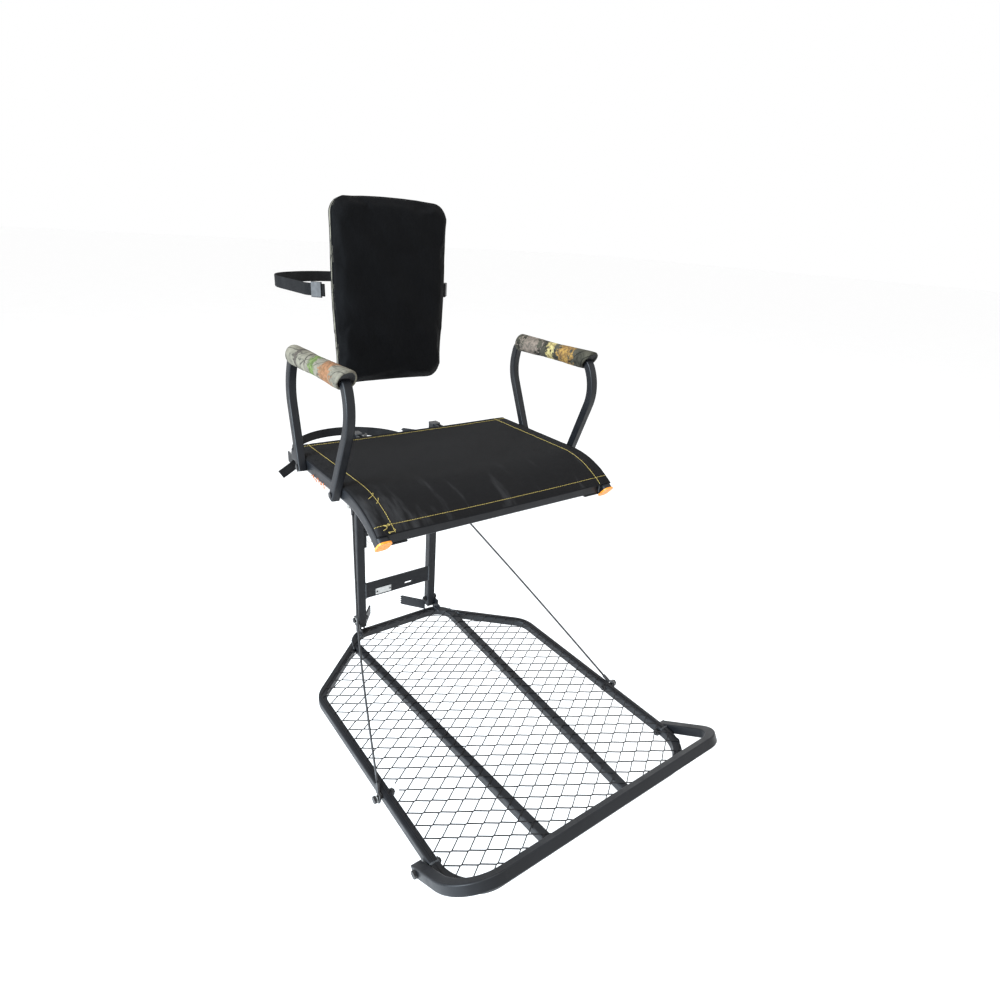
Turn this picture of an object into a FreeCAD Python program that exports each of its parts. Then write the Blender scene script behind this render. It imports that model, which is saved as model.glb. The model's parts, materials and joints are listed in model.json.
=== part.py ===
"""Hang-on tree stand: post, folding platform, flip-up seat, footrest, cables and straps.

Frame: millimetres, +Z up, +X to the sitter's left, -Y the way the sitter faces.
The origin is where the stand bears on the tree, level with the middle of the platform tubes.
"""
import FreeCAD, Part
import math
import os
import Sketcher

V = FreeCAD.Vector
doc = FreeCAD.newDocument("tree_stand")
sheet = doc.addObject("Spreadsheet::Sheet", "dims")

DIMENSIONS = {
    # post
    "upright_x": 106.0, "upright_y": -62.0, "upright_size": 22.0, "upright_foot": 20.0,
    "upright_top": 550.0, "wall": 1.6, "tube_round": 3.0, "bar_front": -68.0,
    "bar_thick": 4.0, "bar_high": 44.0, "bar_z": 128.0, "top_bar_z": 481.0,
    "blade_thick": 4.0, "blade_high": 28.0, "blade_long": 80.0, "lower_blade_z": 3.0,
    "upper_blade_z": 500.0, "bolt_rad": 4.0, "hole_rad": 4.05, "head_rad": 7.5, "head_high": 5.5,
    "fold_y": -60.0, "fold_z": 40.0, "cable_top_y": -65.0, "cable_top_z": 375.0,
    "cable_top_x": 123.2, "lug_gap": 7.0, "lug_wide": 15.0, "seat_pin_y": -107.0,
    "seat_pin_z": 537.0, "strap_z": 430.0, "web_wide": 25.0, "web_thick": 2.0,
    "pin_x": -88.5, "pin_z": 299.0, "pin_rad": 3.0, "pin_hole": 3.06,
    # platform
    "frame_size": 19.0, "frame_wall": 1.5, "inner_y": -72.0, "inner_x": 151.0,
    "inner_bend": 50.0, "inner_toe": 104.0, "leg_end": -820.9, "flare_x": 148.8,
    "flare_y": -110.1, "mesh_root": 105.0, "side_x": 303.0, "knee_y": -255.0, "knee_bend": 60.0,
    "side_end": -750.4, "front_y": -831.0, "front_bend": 80.0, "cell_wide": 54.2,
    "cell_deep": 31.4, "strand": 2.0, "bond": 3.5, "mesh_thick": 1.6, "ear_thick": 4.0, "ear_rad": 12.0,
    "cable_low_x": 318.9, "cable_low_y": -575.0, "cable_low_z": 3.0,
    "cable_rad": 2.4, "eye_rad": 8.0, "ferrule_rad": 4.0, "ferrule_from": 9.0,
    "ferrule_to": 27.0,
    # footrest
    "foot_x": 325.0, "foot_reach": 144.8, "foot_tail": 12.0, "foot_size": 21.0,
    "foot_bend": 80.0, "foot_bend_left": 48.0, "foot_y": -743.0, "foot_z": -4.0, "foot_angle": 32.6,
    # seat
    "rail_x": 267.0, "rail_wide": 24.0, "rail_tall": 30.0, "rail_round": 8.0, "rail_z": 545.0,
    "rail_rear": -120.0, "rail_corner": -447.7, "rail_bend": 189.0, "rail_nose_y": -501.3,
    "rail_nose_z": 499.7, "seat_bar_y": -135.0, "seat_bar": 22.0, "nose_bar_y": -484.0,
    "nose_bar_z": 505.0, "nose_bar": 20.0, "seat_ear": 6.0, "seat_ear_rad": 11.0,
    "cloth_wide": 555.0, "cloth_thick": 1.8, "arm_size": 17.0, "arm_foot_x": 288.95,
    "arm_foot_z": 530.0, "arm_lean": 3.45, "arm_bolt_z": 544.0, "pad_rad": 19.5,
    "pad_rear": -165.0, "pad_long": 232.0, "cap_thick": 3.0, "cap_wide": 27.0,
    "cap_tall": 33.0,
    # backrest
    "back_wide": 292.0, "back_low": 654.0, "back_high": 1038.0, "back_rear": -12.0,
    "back_thick": 40.0, "back_round": 35.0, "back_strap_z": 854.0,
}


class Dim:
    """A length from the sheet: its value, and the expression that gives it."""

    def __init__(self, value, text):
        self.value, self.text = float(value), text

    def __float__(self):
        return self.value

    def __add__(self, other):
        return Dim(self.value + float(other), f"({self.text} + {words(other)})")

    def __radd__(self, other):
        return self + other

    def __sub__(self, other):
        return Dim(self.value - float(other), f"({self.text} - {words(other)})")

    def __rsub__(self, other):
        return Dim(float(other) - self.value, f"({words(other)} - {self.text})")

    def __mul__(self, other):
        return Dim(self.value * float(other), f"({self.text} * {words(other)})")

    def __rmul__(self, other):
        return self * other

    def __truediv__(self, other):
        return Dim(self.value / float(other), f"({self.text} / {words(other)})")

    def __neg__(self):
        return Dim(-self.value, f"(0 - {self.text})")


def words(value):
    return value.text if isinstance(value, Dim) else format(float(value), ".5f")


class Dims:
    def __getattr__(self, alias):
        return Dim(DIMENSIONS[alias], "dims." + alias)


d = Dims()
for row, (alias, value) in enumerate(DIMENSIONS.items(), 1):
    sheet.set(f"A{row}", alias.replace("_", " "))
    sheet.set(f"B{row}", str(value))
    sheet.setAlias(f"B{row}", alias)
doc.recompute()

parts = {}


def keep(name, obj):
    """Take a finished object as the sub-part of this name."""
    obj.Label = name
    parts[name] = obj
    return obj


def bind(obj, prop, value):
    if isinstance(value, Dim):
        obj.setExpression(prop, value.text)
    else:
        setattr(obj, prop, value)


def put(obj, at, axis=(0, 0, 1), angle=0.0):
    """Give an object its Placement, with each sheet length bound."""
    base = V(*[float(v) for v in at])
    obj.Placement = FreeCAD.Placement(base, FreeCAD.Rotation(V(*axis), float(angle)))
    for key, value in zip("xyz", at):
        if isinstance(value, Dim):
            obj.setExpression("Placement.Base." + key, value.text)
    return obj


TURN = {"X": ((0, 1, 0), 90), "Y": ((1, 0, 0), -90), "Z": ((0, 0, 1), 0)}


def box(name, size, at, axis=(0, 0, 1), angle=0.0):
    obj = doc.addObject("Part::Box", name)
    for prop, value in zip(("Length", "Width", "Height"), size):
        bind(obj, prop, value)
    return put(obj, at, axis, angle)


def rod(name, radius, length, at, along="X"):
    obj = doc.addObject("Part::Cylinder", name)
    bind(obj, "Radius", radius)
    bind(obj, "Height", length)
    return put(obj, at, *TURN[along])


def hexagon(name, radius, length, at, along="X"):
    obj = doc.addObject("Part::Prism", name)
    obj.Polygon = 6
    bind(obj, "Circumradius", radius)
    bind(obj, "Height", length)
    return put(obj, at, *TURN[along])


def fuse(name, shapes):
    obj = doc.addObject("Part::MultiFuse", name)
    obj.Shapes = shapes
    return obj


def cut(name, base, tool):
    obj = doc.addObject("Part::Cut", name)
    obj.Base, obj.Tool = base, tool
    return obj


def group(name, shapes):
    obj = doc.addObject("Part::Compound", name)
    obj.Links = shapes
    return obj


def mirror(name, source):
    obj = doc.addObject("Part::Mirroring", name)
    obj.Source, obj.Normal = source, V(1, 0, 0)
    return obj


def plane(body, role):
    return next(f for f in body.Origin.OriginFeatures if f.Role == role)


def new_sketch(body, role, name):
    sketch = body.newObject("Sketcher::SketchObject", name)
    sketch.AttachmentSupport = (plane(body, role), [""])
    sketch.MapMode = "FlatFace"
    return sketch


def pin_point(sketch, geo, pos, point):
    """Fix a sketch point at x, y, bound to the sheet where a length comes from it."""
    for kind, value in (("DistanceX", point[0]), ("DistanceY", point[1])):
        index = sketch.addConstraint(
            Sketcher.Constraint(kind, -1, 1, geo, pos, float(value)))
        if isinstance(value, Dim):
            sketch.setExpression(f"Constraints[{index}]", value.text)


def draw(sketch, points, radii, closed=False):
    """Draw straight runs joined by tangent arcs; each corner keeps a fixed point."""
    count = len(points)
    spots = [V(float(x), float(y), 0) for x, y in points]
    corners = range(count) if closed else range(1, count - 1)
    joint = {}
    for i in corners:
        radius = float(radii[i])
        if not radius:
            joint[i] = (spots[i], spots[i], None)
            continue
        back = (spots[i - 1] - spots[i]).normalize()
        ahead = (spots[(i + 1) % count] - spots[i]).normalize()
        half = back.getAngle(ahead) / 2
        reach = radius / math.tan(half)
        centre = spots[i] + (back + ahead).normalize() * (radius / math.sin(half))
        joint[i] = (spots[i] + back * reach, spots[i] + ahead * reach, centre)
    lines = []
    for i in (range(count) if closed else range(count - 1)):
        j = (i + 1) % count
        start = joint[i][1] if i in joint else spots[i]
        end = joint[j][0] if j in joint else spots[j]
        lines.append(sketch.addGeometry(Part.LineSegment(start, end), False))
    for i in corners:
        before, after = lines[i - 1], lines[i]
        start, end, centre = joint[i]
        if centre is None:
            sketch.addConstraint(Sketcher.Constraint("Coincident", before, 2, after, 1))
            pin_point(sketch, before, 2, points[i])
            continue
        one = math.atan2(start.y - centre.y, start.x - centre.x)
        two = math.atan2(end.y - centre.y, end.x - centre.x)
        left = (start - centre).cross(end - centre).z > 0
        first, last = (1, 2) if left else (2, 1)
        circle = Part.Circle(centre, V(0, 0, 1), float(radii[i]))
        arc = sketch.addGeometry(
            Part.ArcOfCircle(circle, *((one, two) if left else (two, one))), False)
        sketch.addConstraint(Sketcher.Constraint("Tangent", before, 2, arc, first))
        sketch.addConstraint(Sketcher.Constraint("Tangent", arc, last, after, 1))
        index = sketch.addConstraint(Sketcher.Constraint("Radius", arc, float(radii[i])))
        if isinstance(radii[i], Dim):
            sketch.setExpression(f"Constraints[{index}]", radii[i].text)
        corner = sketch.addGeometry(Part.Point(spots[i]), True)
        sketch.addConstraint(Sketcher.Constraint("PointOnObject", corner, 1, before))
        sketch.addConstraint(Sketcher.Constraint("PointOnObject", corner, 1, after))
        pin_point(sketch, corner, 1, points[i])
    if not closed:
        pin_point(sketch, lines[0], 1, points[0])
        pin_point(sketch, lines[-1], 2, points[-1])


def ring(sketch, wide, tall, rounding, centre=(0.0, 0.0)):
    """A rectangle about a centre, with rounded or square corners."""
    x, y = centre
    half, high = wide / 2, tall / 2
    corners = [(x - half, y - high), (x + half, y - high),
               (x + half, y + high), (x - half, y + high)]
    draw(sketch, corners, [rounding] * 4, closed=True)


def swept(name, role, points, radii, section, rounding=0.0, wall=0.0):
    """A tube or strap swept along a flat path; section is (in the plane, across it)."""
    body = doc.addObject("PartDesign::Body", name)
    path = new_sketch(body, role, name + "_path")
    draw(path, points, radii)
    start, second = [V(float(x), float(y), 0) for x, y in points[:2]]
    along = (second - start).normalize()
    profile = new_sketch(body, role, name + "_section")
    turn = FreeCAD.Rotation(V(-along.y, along.x, 0), V(0, 0, 1), along, "ZXY")
    profile.AttachmentOffset = FreeCAD.Placement(start, turn)
    for key, value in zip("xy", points[0]):
        if isinstance(value, Dim):
            profile.setExpression("AttachmentOffset.Base." + key, value.text)
    ring(profile, section[0], section[1], rounding)
    if float(wall):
        inner = rounding - wall if float(rounding) > float(wall) else 0.0
        ring(profile, section[0] - 2 * wall, section[1] - 2 * wall, inner)
    pipe = body.newObject("PartDesign::AdditivePipe", name + "_pipe")
    pipe.Profile = profile
    pipe.Spine = (path, [""])
    return body


def plate(name, role, points, radii, thick, holes=(), both_ways=False):
    """A flat plate from its outline, with round holes (x, y, radius)."""
    body = doc.addObject("PartDesign::Body", name)
    outline = new_sketch(body, role, name + "_outline")
    draw(outline, points, radii, closed=True)
    for x, y, radius in holes:
        hole = outline.addGeometry(
            Part.Circle(V(float(x), float(y), 0), V(0, 0, 1), float(radius)), False)
        pin_point(outline, hole, 3, (x, y))
        index = outline.addConstraint(Sketcher.Constraint("Radius", hole, float(radius)))
        if isinstance(radius, Dim):
            outline.setExpression(f"Constraints[{index}]", radius.text)
    pad = body.newObject("PartDesign::Pad", name + "_pad")
    pad.Profile = outline
    pad.Midplane = both_ways
    bind(pad, "Length", thick)
    return body


def drilled(name, base, holes):
    """Cut cylinders (radius, length, start, direction) out of a base."""
    tools = [rod(f"{name}_hole_{n}", *hole) for n, hole in enumerate(holes)]
    return cut(name, base, tools[0] if len(tools) == 1 else fuse(name + "_holes", tools))


def bolt(name, head_x, nut_x, y, z):
    """A bolt along X: hexagon head outside, nut inside, as one fastened piece."""
    length = head_x - nut_x + d.head_high + 2.5
    return fuse(name, [
        hexagon(name + "_head", d.head_rad, d.head_high, (head_x, y, z)),
        rod(name + "_shank", d.bolt_rad, length, (nut_x - d.head_high - 2.5, y, z)),
        hexagon(name + "_nut", d.head_rad, d.head_high, (nut_x - d.head_high, y, z))])


def bolt_pair(name, head_x, nut_x, y, z):
    one = bolt("left_" + name, head_x, nut_x, y, z)
    return keep(name, group(name, [one, mirror("right_" + name, one)]))


def pair(name, obj):
    """Keep the left piece and its mirror image on the right."""
    keep("left_" + name, obj)
    keep("right_" + name, mirror("right_" + name, obj))


def square_tube(name, role, size, length, at, wall):
    """A straight square tube centred along the normal of its plane."""
    body = doc.addObject("PartDesign::Body", name)
    outline = new_sketch(body, role, name + "_section")
    ring(outline, size, size, d.tube_round)
    ring(outline, size - 2 * wall, size - 2 * wall, d.tube_round - wall)
    pad = body.newObject("PartDesign::Pad", name + "_pad")
    pad.Profile = outline
    pad.Midplane = role == "YZ_Plane"
    bind(pad, "Length", length)
    return put(body, at)


# ---- post ----
upright_out = d.upright_x + d.upright_size / 2
upright_in = d.upright_x - d.upright_size / 2


def make_uprights():
    tube = square_tube("upright_tube", "XY_Plane", d.upright_size,
                       d.upright_top - d.upright_foot,
                       (d.upright_x, d.upright_y, d.upright_foot), d.wall)
    pair("upright", drilled("left_upright", tube, [
        (d.hole_rad, 60.0, (d.upright_x - 30, d.fold_y, d.fold_z)),
        (d.hole_rad, 60.0, (d.upright_x - 30, d.cable_top_y, d.cable_top_z))]))
    inside = d.upright_size - 2 * d.wall - 0.3
    body = doc.addObject("PartDesign::Body", "left_upright_plug")
    for name, size, length, below in (("cap", d.upright_size, 3.0, False),
                                      ("stem", inside, 12.0, True)):
        outline = new_sketch(body, "XY_Plane", "plug_" + name)
        ring(outline, size, size, 2.0)
        pad = body.newObject("PartDesign::Pad", "plug_" + name + "_pad")
        pad.Profile, pad.Length, pad.Reversed = outline, length, below
        doc.recompute()
    put(body, (d.upright_x, d.upright_y, d.upright_top))
    keep("upright_plugs", group("upright_plugs", [body, mirror("right_upright_plug", body)]))


def make_crossbars():
    half, high = upright_in, d.bar_high / 2
    bar = plate("mid_bar_plate", "XZ_Plane",
                [(-half, -high), (half, -high), (half, high), (-half, high)],
                [3.0] * 4, d.bar_thick)
    put(bar, (0, d.bar_front, d.bar_z))
    slot = fuse("mid_bar_slot", [
        box("slot_middle", (16.0, 20.0, 6.0), (23.0, d.bar_front - 12, d.bar_z - 12)),
        rod("slot_left", 3.0, 20.0, (39.0, d.bar_front - 12, d.bar_z - 9), "Y"),
        rod("slot_right", 3.0, 20.0, (23.0, d.bar_front - 12, d.bar_z - 9), "Y")])
    keep("mid_crossbar", cut("mid_crossbar", bar, slot))
    keep("upper_crossbar", square_tube("upper_crossbar", "YZ_Plane", d.upright_size,
                                       2 * upright_in, (0, d.upright_y, d.top_bar_z), d.wall))
    face = d.bar_front - d.bar_thick
    keep("id_plate", fuse("id_plate", [
        box("id_blank", (45.0, 0.8, 17.0), (-67.0, face - 0.8, d.bar_z - 18)),
        rod("id_rivet_a", 1.8, 1.6, (-63.5, face - 1.6, d.bar_z - 9.5), "Y"),
        rod("id_rivet_b", 1.8, 1.6, (-25.5, face - 1.6, d.bar_z - 9.5), "Y")]))


def make_blades():
    """Toothed plates that run in from the uprights and bite the tree."""
    teeth = [(d.blade_long, 0.0)]
    for n in range(4):
        low = d.blade_high * (n / 4)
        teeth += [(d.blade_long + 5, low + d.blade_high / 8),
                  (d.blade_long, low + d.blade_high / 4)]
    outline = [(0.0, 0.0)] + teeth + [(0.0, d.blade_high)]
    angle = 180 - math.degrees(math.atan2(55.0, 45.0))
    for level, height in (("lower", d.lower_blade_z), ("upper", d.upper_blade_z)):
        flat = plate(level + "_blade_flat", "XZ_Plane", outline, [0.0] * len(outline),
                     d.blade_thick, both_ways=True)
        put(flat, (102.0, -63.5, height), (0, 0, 1), angle)
        post = box(level + "_blade_post", (d.upright_size, d.upright_size, 60.0),
                   (upright_in, d.upright_y - d.upright_size / 2, height - 10))
        pair(level + "_blade", cut(level + "_blade", flat, post))


def make_strap_plates():
    y, z = d.upright_y, d.strap_z
    outline = [(-11.0, -19.0), (34.0, -19.0), (34.0, 19.0), (-11.0, 19.0)]
    flat = plate("strap_plate_flat", "YZ_Plane", outline, [4.0, 7.0, 7.0, 4.0], d.ear_thick)
    put(flat, (upright_out, y, z))
    slot = box("strap_slot", (20.0, 6.0, d.web_wide + 1.5),
               (upright_out - 8, y + 22, z - d.web_wide / 2 - 0.75))
    pair("strap_plate", cut("left_strap_plate", flat, slot))


def make_seat_lugs():
    """A clevis on the front of each upright that carries the seat's hinge."""
    reach, deep = 44.0, d.lug_wide
    block = plate("lug_block", "YZ_Plane",
                  [(-reach, -14.0), (0.0, -14.0), (0.0, 14.0), (-reach, 14.0)],
                  [12.0, 0.0, 0.0, 12.0], deep, both_ways=True)
    put(block, (d.upright_x, d.upright_y - 11, d.seat_pin_z))
    gap = box("lug_gap_cut", (d.lug_gap, 60.0, 40.0),
              (d.upright_x - d.lug_gap / 2, d.upright_y - 75, d.seat_pin_z - 20))
    lug = cut("lug_slotted", block, gap)
    pair("seat_lug", drilled("left_seat_lug", lug, [
        (d.hole_rad, 40.0, (d.upright_x - 20, d.seat_pin_y, d.seat_pin_z))]))


def make_post_bolts():
    bolt_pair("platform_bolts", upright_out + 4.9, upright_in, d.fold_y, d.fold_z)
    bolt_pair("upper_cable_bolts", d.cable_top_x + 5.8, upright_in, d.cable_top_y,
              d.cable_top_z)
    bolt_pair("seat_bolts", d.upright_x + d.lug_wide / 2, d.upright_x - d.lug_wide / 2,
              d.seat_pin_y, d.seat_pin_z)


def loop_strap(name, side, bends, back_y, bend, height):
    """A webbing strap that leaves one side, goes round the tree and comes back."""
    path = side + [(0.0, back_y)] + [(-x, y) for x, y in reversed(side)]
    strap = swept(name, "XY_Plane", path, [0] + bends + [bend] + bends[::-1] + [0],
                  (d.web_thick, d.web_wide))
    return keep(name, put(strap, (0, 0, height)))


BUCKLE = (-168.85, 155.0)     # on the outer face of the strap, right of the tree
BUCKLE_TURN = 184.13          # local +X then points away from the tree


def at_buckle(obj, x, y, z):
    """Place an object at a spot given in the buckle's own axes."""
    turn = FreeCAD.Rotation(V(0, 0, 1), BUCKLE_TURN)
    spot = V(BUCKLE[0], BUCKLE[1], float(d.strap_z)) + turn.multVec(V(x, y, z))
    own = obj.Placement.Rotation
    obj.Placement = FreeCAD.Placement(spot, turn.multiply(own))
    return obj


def make_tree_strap():
    loop_strap("tree_strap", [(113.0, -37.2), (122.7, -37.2), (189.8, 235.1)],
               [2.0, 160.0], 367.3, 160.0, d.strap_z)
    base = at_buckle(box("buckle_base", (2.0, 46.0, 34.0), (0, 0, 0)), 0, -23, -17)
    cheeks = [at_buckle(box(f"buckle_cheek_{n}", (13.0, 30.0, 2.0), (0, 0, 0)), 2, -15, z)
              for n, z in enumerate((-17, 15))]
    frame = fuse("buckle_frame", [base] + cheeks)
    hole = at_buckle(rod("buckle_hole", 2.56, 60.0, (0, 0, 0), "Z"), 9, 8, -30)
    keep("strap_buckle", cut("strap_buckle", frame, hole))
    lever = fuse("strap_lever", [
        at_buckle(rod("lever_shaft", 2.5, 36.0, (0, 0, 0), "Z"), 9, 8, -18),
        at_buckle(rod("lever_drum", 5.0, 28.0, (0, 0, 0), "Z"), 9, 8, -14),
        at_buckle(box("lever_arm", (3.0, 38.0, 28.0), (0, 0, 0)), 11, -30, -14)])
    keep("strap_lever", lever)
    tail = swept("strap_tail", "XY_Plane",
                 [(0.0, 0.0), (20.0, 1.0), (54.0, -6.0)], [0, 60.0, 0], (1.6, 25.0))
    put(tail, (0, 0, 0), (0, 1, 0), 32.0)
    keep("strap_tail", at_buckle(tail, 9.0, 19.0, 0))


def make_lock_pin():
    """A pull pin with a ring, in a lug inside the right upright."""
    lug = fuse("pin_lug_blank", [
        box("pin_lug_block", (16.5, 20.0, 24.0), (-upright_in, -72.0, d.pin_z - 12)),
        box("pin_lug_tail", (5.0, 20.0, 34.0), (-upright_in, -72.0, d.pin_z - 44))])
    keep("pin_lug", drilled("pin_lug", lug, [
        (d.pin_hole, 40.0, (d.pin_x + 2, -82.0, d.pin_z), "Y")]))
    blank = fuse("pin_blank", [
        rod("pin_shank", d.pin_rad, 34.0, (d.pin_x + 2, -80.0, d.pin_z), "Y"),
        rod("pin_collar", 5.0, 3.0, (d.pin_x + 2, -80.0, d.pin_z), "Y"),
        box("pin_tab", (2.5, 11.0, 10.0), (d.pin_x + 0.75, -90.0, d.pin_z - 5))])
    keep("lock_pin", drilled("lock_pin", blank, [
        (2.2, 10.0, (d.pin_x - 3, -85.5, d.pin_z), "X")]))
    loop = doc.addObject("Part::Torus", "pin_ring")
    loop.Radius1, loop.Radius2 = 12.0, 0.9
    turn = FreeCAD.Rotation(V(0, 0, 1), 25).multiply(FreeCAD.Rotation(V(1, 0, 0), 90))
    loop.Placement = FreeCAD.Placement(V(-86.5, -85.5, float(d.pin_z) - 12), turn)
    keep("pin_ring", loop)


# ---- platform ----
def platform_path():
    """The middle line of the platform's outer frame, left side."""
    return [(d.side_x, d.side_end), (d.side_x, d.knee_y), (d.flare_x, d.flare_y)]


def make_platform_frame():
    size, wall = d.frame_size, d.frame_wall
    inner_path = [(d.inner_toe, d.leg_end), (d.inner_x, d.inner_y),
                  (-d.inner_x, d.inner_y), (-d.inner_toe, d.leg_end)]
    bends = [0, d.inner_bend, d.inner_bend, 0]
    keep("platform_inner_tube", swept("platform_inner_tube", "XY_Plane", inner_path, bends,
                                      (size, size), d.tube_round, wall))
    envelope = swept("inner_envelope", "XY_Plane", inner_path, bends, (size, size),
                     d.tube_round)
    side = swept("side_tube", "XY_Plane", platform_path(), [0, d.knee_bend, 0],
                 (size, size), d.tube_round, wall)
    whole = cut("side_tube_coped", side, envelope)
    pair("platform_tube", drilled("left_platform_tube", whole, [
        (d.hole_rad, 60.0, (d.side_x - 30, d.cable_low_y, d.cable_low_z)),
        (d.hole_rad, 60.0, (d.side_x - 30, d.foot_y, d.foot_z))]))
    keep("platform_front_tube", swept(
        "platform_front_tube", "XY_Plane",
        [(d.side_x, d.side_end), (d.side_x, d.front_y), (-d.side_x, d.front_y),
         (-d.side_x, d.side_end)], [0, d.front_bend, d.front_bend, 0],
        (size, size), d.tube_round, wall))


def clip(polygon, edge_from, edge_to):
    """Keep the part of a polygon on the left of a directed edge."""
    def side(p):
        return ((edge_to[0] - edge_from[0]) * (p[1] - edge_from[1])
                - (edge_to[1] - edge_from[1]) * (p[0] - edge_from[0]))
    result = []
    for i, current in enumerate(polygon):
        previous = polygon[i - 1]
        a, b = side(previous), side(current)
        if (a > 0) != (b > 0):
            t = a / (a - b)
            result.append(tuple(previous[k] + t * (current[k] - previous[k]) for k in (0, 1)))
        if b > 0:
            result.append(current)
    return result


def area(polygon):
    return abs(sum(polygon[i - 1][0] * p[1] - p[0] * polygon[i - 1][1]
                   for i, p in enumerate(polygon))) / 2


def outline_wire(points):
    spots = [V(x, y, 0) for x, y in points]
    return Part.makePolygon(spots + spots[:1])


def inset(polygon, gap):
    """Move every edge of a convex polygon in by a gap."""
    result = list(polygon)
    for i, b in enumerate(polygon):
        a = polygon[i - 1]
        long = math.hypot(b[0] - a[0], b[1] - a[1])
        nx, ny = -(b[1] - a[1]) / long * gap, (b[0] - a[0]) / long * gap
        result = clip(result, (a[0] + nx, a[1] + ny), (b[0] + nx, b[1] + ny))
    return result


def make_mesh():
    """Expanded metal: a sheet with rows of diamond openings, lying on the frame."""
    x, toe = DIMENSIONS["side_x"], 38.0
    knee, rear = DIMENSIONS["knee_y"], DIMENSIONS["inner_y"]
    front, flare = DIMENSIONS["front_y"], DIMENSIONS["mesh_root"]
    edge = [(-flare, rear), (-x, knee), (-x, front + toe), (-x + toe, front),
            (x - toe, front), (x, front + toe), (x, knee), (flare, rear)]
    rim = inset(edge, 2.0)
    half = DIMENSIONS["cell_wide"] / 2
    deep = DIMENSIONS["cell_deep"] / 2
    bond, strand = DIMENSIONS["bond"] / 2, DIMENSIONS["strand"]
    run = half - 2 * bond
    tip = strand * math.hypot(run, deep) / (2 * deep)
    cut_in = strand / 2 * (math.hypot(run, deep) - run) / deep
    holes = []
    for row in range(60):
        for column in range(26):
            cx = (column - 12.5 + (row % 2) / 2) * 2 * half + 3.1
            cy = front - 12 + row * deep
            end, flat, rise = half - bond - tip, bond - cut_in, deep - strand / 2
            cell = [(cx - end, cy), (cx - flat, cy - rise), (cx + flat, cy - rise),
                    (cx + end, cy), (cx + flat, cy + rise), (cx - flat, cy + rise)]
            for i, b in enumerate(rim):
                cell = clip(cell, rim[i - 1], b) if cell else cell
            if len(cell) > 2 and area(cell) > 12:
                holes.append(outline_wire(cell))
    sheet_face = Part.makeFace([outline_wire(edge)] + holes, "Part::FaceMakerBullseye")
    solid = sheet_face.extrude(V(0, 0, DIMENSIONS["mesh_thick"]))
    notches = [Part.makeBox(6.0, 40.0, 6.0, V(s * 119.5 - 3.0, -98.0, -1)) for s in (-1, 1)]
    notches += [Part.makeBox(16.0, 20.0, 6.0, V(s * 288.0 - 8.0, -585.0, -1)) for s in (-1, 1)]
    mesh = doc.addObject("Part::Feature", "platform_mesh")
    mesh.Shape = max(solid.cut(notches).Solids, key=lambda piece: piece.Volume)
    put(mesh, (0, 0, d.frame_size / 2))
    keep("platform_mesh", mesh)


def make_platform_ears():
    low = d.frame_size / 2
    leg = box("ear_leg", (d.ear_thick, 30.0, 18.0), (upright_out + 0.5, -96.0, low))
    neck = box("ear_neck", (d.ear_thick, 24.0, 30.0), (upright_out + 0.5, -86.0, low))
    eye = rod("ear_eye", d.ear_rad, d.ear_thick, (upright_out + 0.5, d.fold_y, d.fold_z))
    brow = box("ear_brow", (d.ear_thick, 18.0, 20.0), (upright_out + 0.5, -72.0, low + 13))
    whole = fuse("ear_blank", [leg, neck, eye, brow])
    pair("platform_ear", drilled("left_platform_ear", whole, [
        (d.hole_rad, 20.0, (upright_out - 6, d.fold_y, d.fold_z))]))
    bolt_pair("lower_cable_bolts", d.cable_low_x + 5.8, d.side_x - d.frame_size / 2,
              d.cable_low_y, d.cable_low_z)
    bolt_pair("footrest_bolts", d.foot_x + d.foot_size / 2 + 0.3,
              d.side_x - d.frame_size / 2, d.foot_y, d.foot_z)


def make_cables():
    """A straight steel cable each side, with a crimped eye at both ends."""
    top = V(*[DIMENSIONS[k] for k in ("cable_top_x", "cable_top_y", "cable_top_z")])
    low = V(*[DIMENSIONS[k] for k in ("cable_low_x", "cable_low_y", "cable_low_z")])
    along = (low - top).normalize()
    eye_axis = (V(1, 0, 0) - along * along.x).normalize()
    length = (low - top).Length
    run = d.ferrule_to
    tube = rod("left_cable_tube", d.cable_rad, length - 2 * run, (0, 0, 0), "Z")
    turn = FreeCAD.Rotation(V(0, 0, 1), along)
    tube.Placement = FreeCAD.Placement(top + along * float(run), turn)
    pair("cable", tube)
    for end, spot, way in (("top", top, along), ("low", low, along * -1)):
        eye = doc.addObject("Part::Torus", f"{end}_eye")
        bind(eye, "Radius1", d.eye_rad)
        bind(eye, "Radius2", d.cable_rad)
        eye.Placement = FreeCAD.Placement(spot, FreeCAD.Rotation(V(0, 0, 1), eye_axis))
        ferrule = rod(f"{end}_ferrule", d.ferrule_rad, d.ferrule_to - d.ferrule_from,
                      (0, 0, 0), "Z")
        ferrule.Placement = FreeCAD.Placement(spot + way * float(d.ferrule_from),
                                              FreeCAD.Rotation(V(0, 0, 1), way))
        pair(f"cable_{end}_end", fuse(f"left_cable_{end}_end", [eye, ferrule]))


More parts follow.
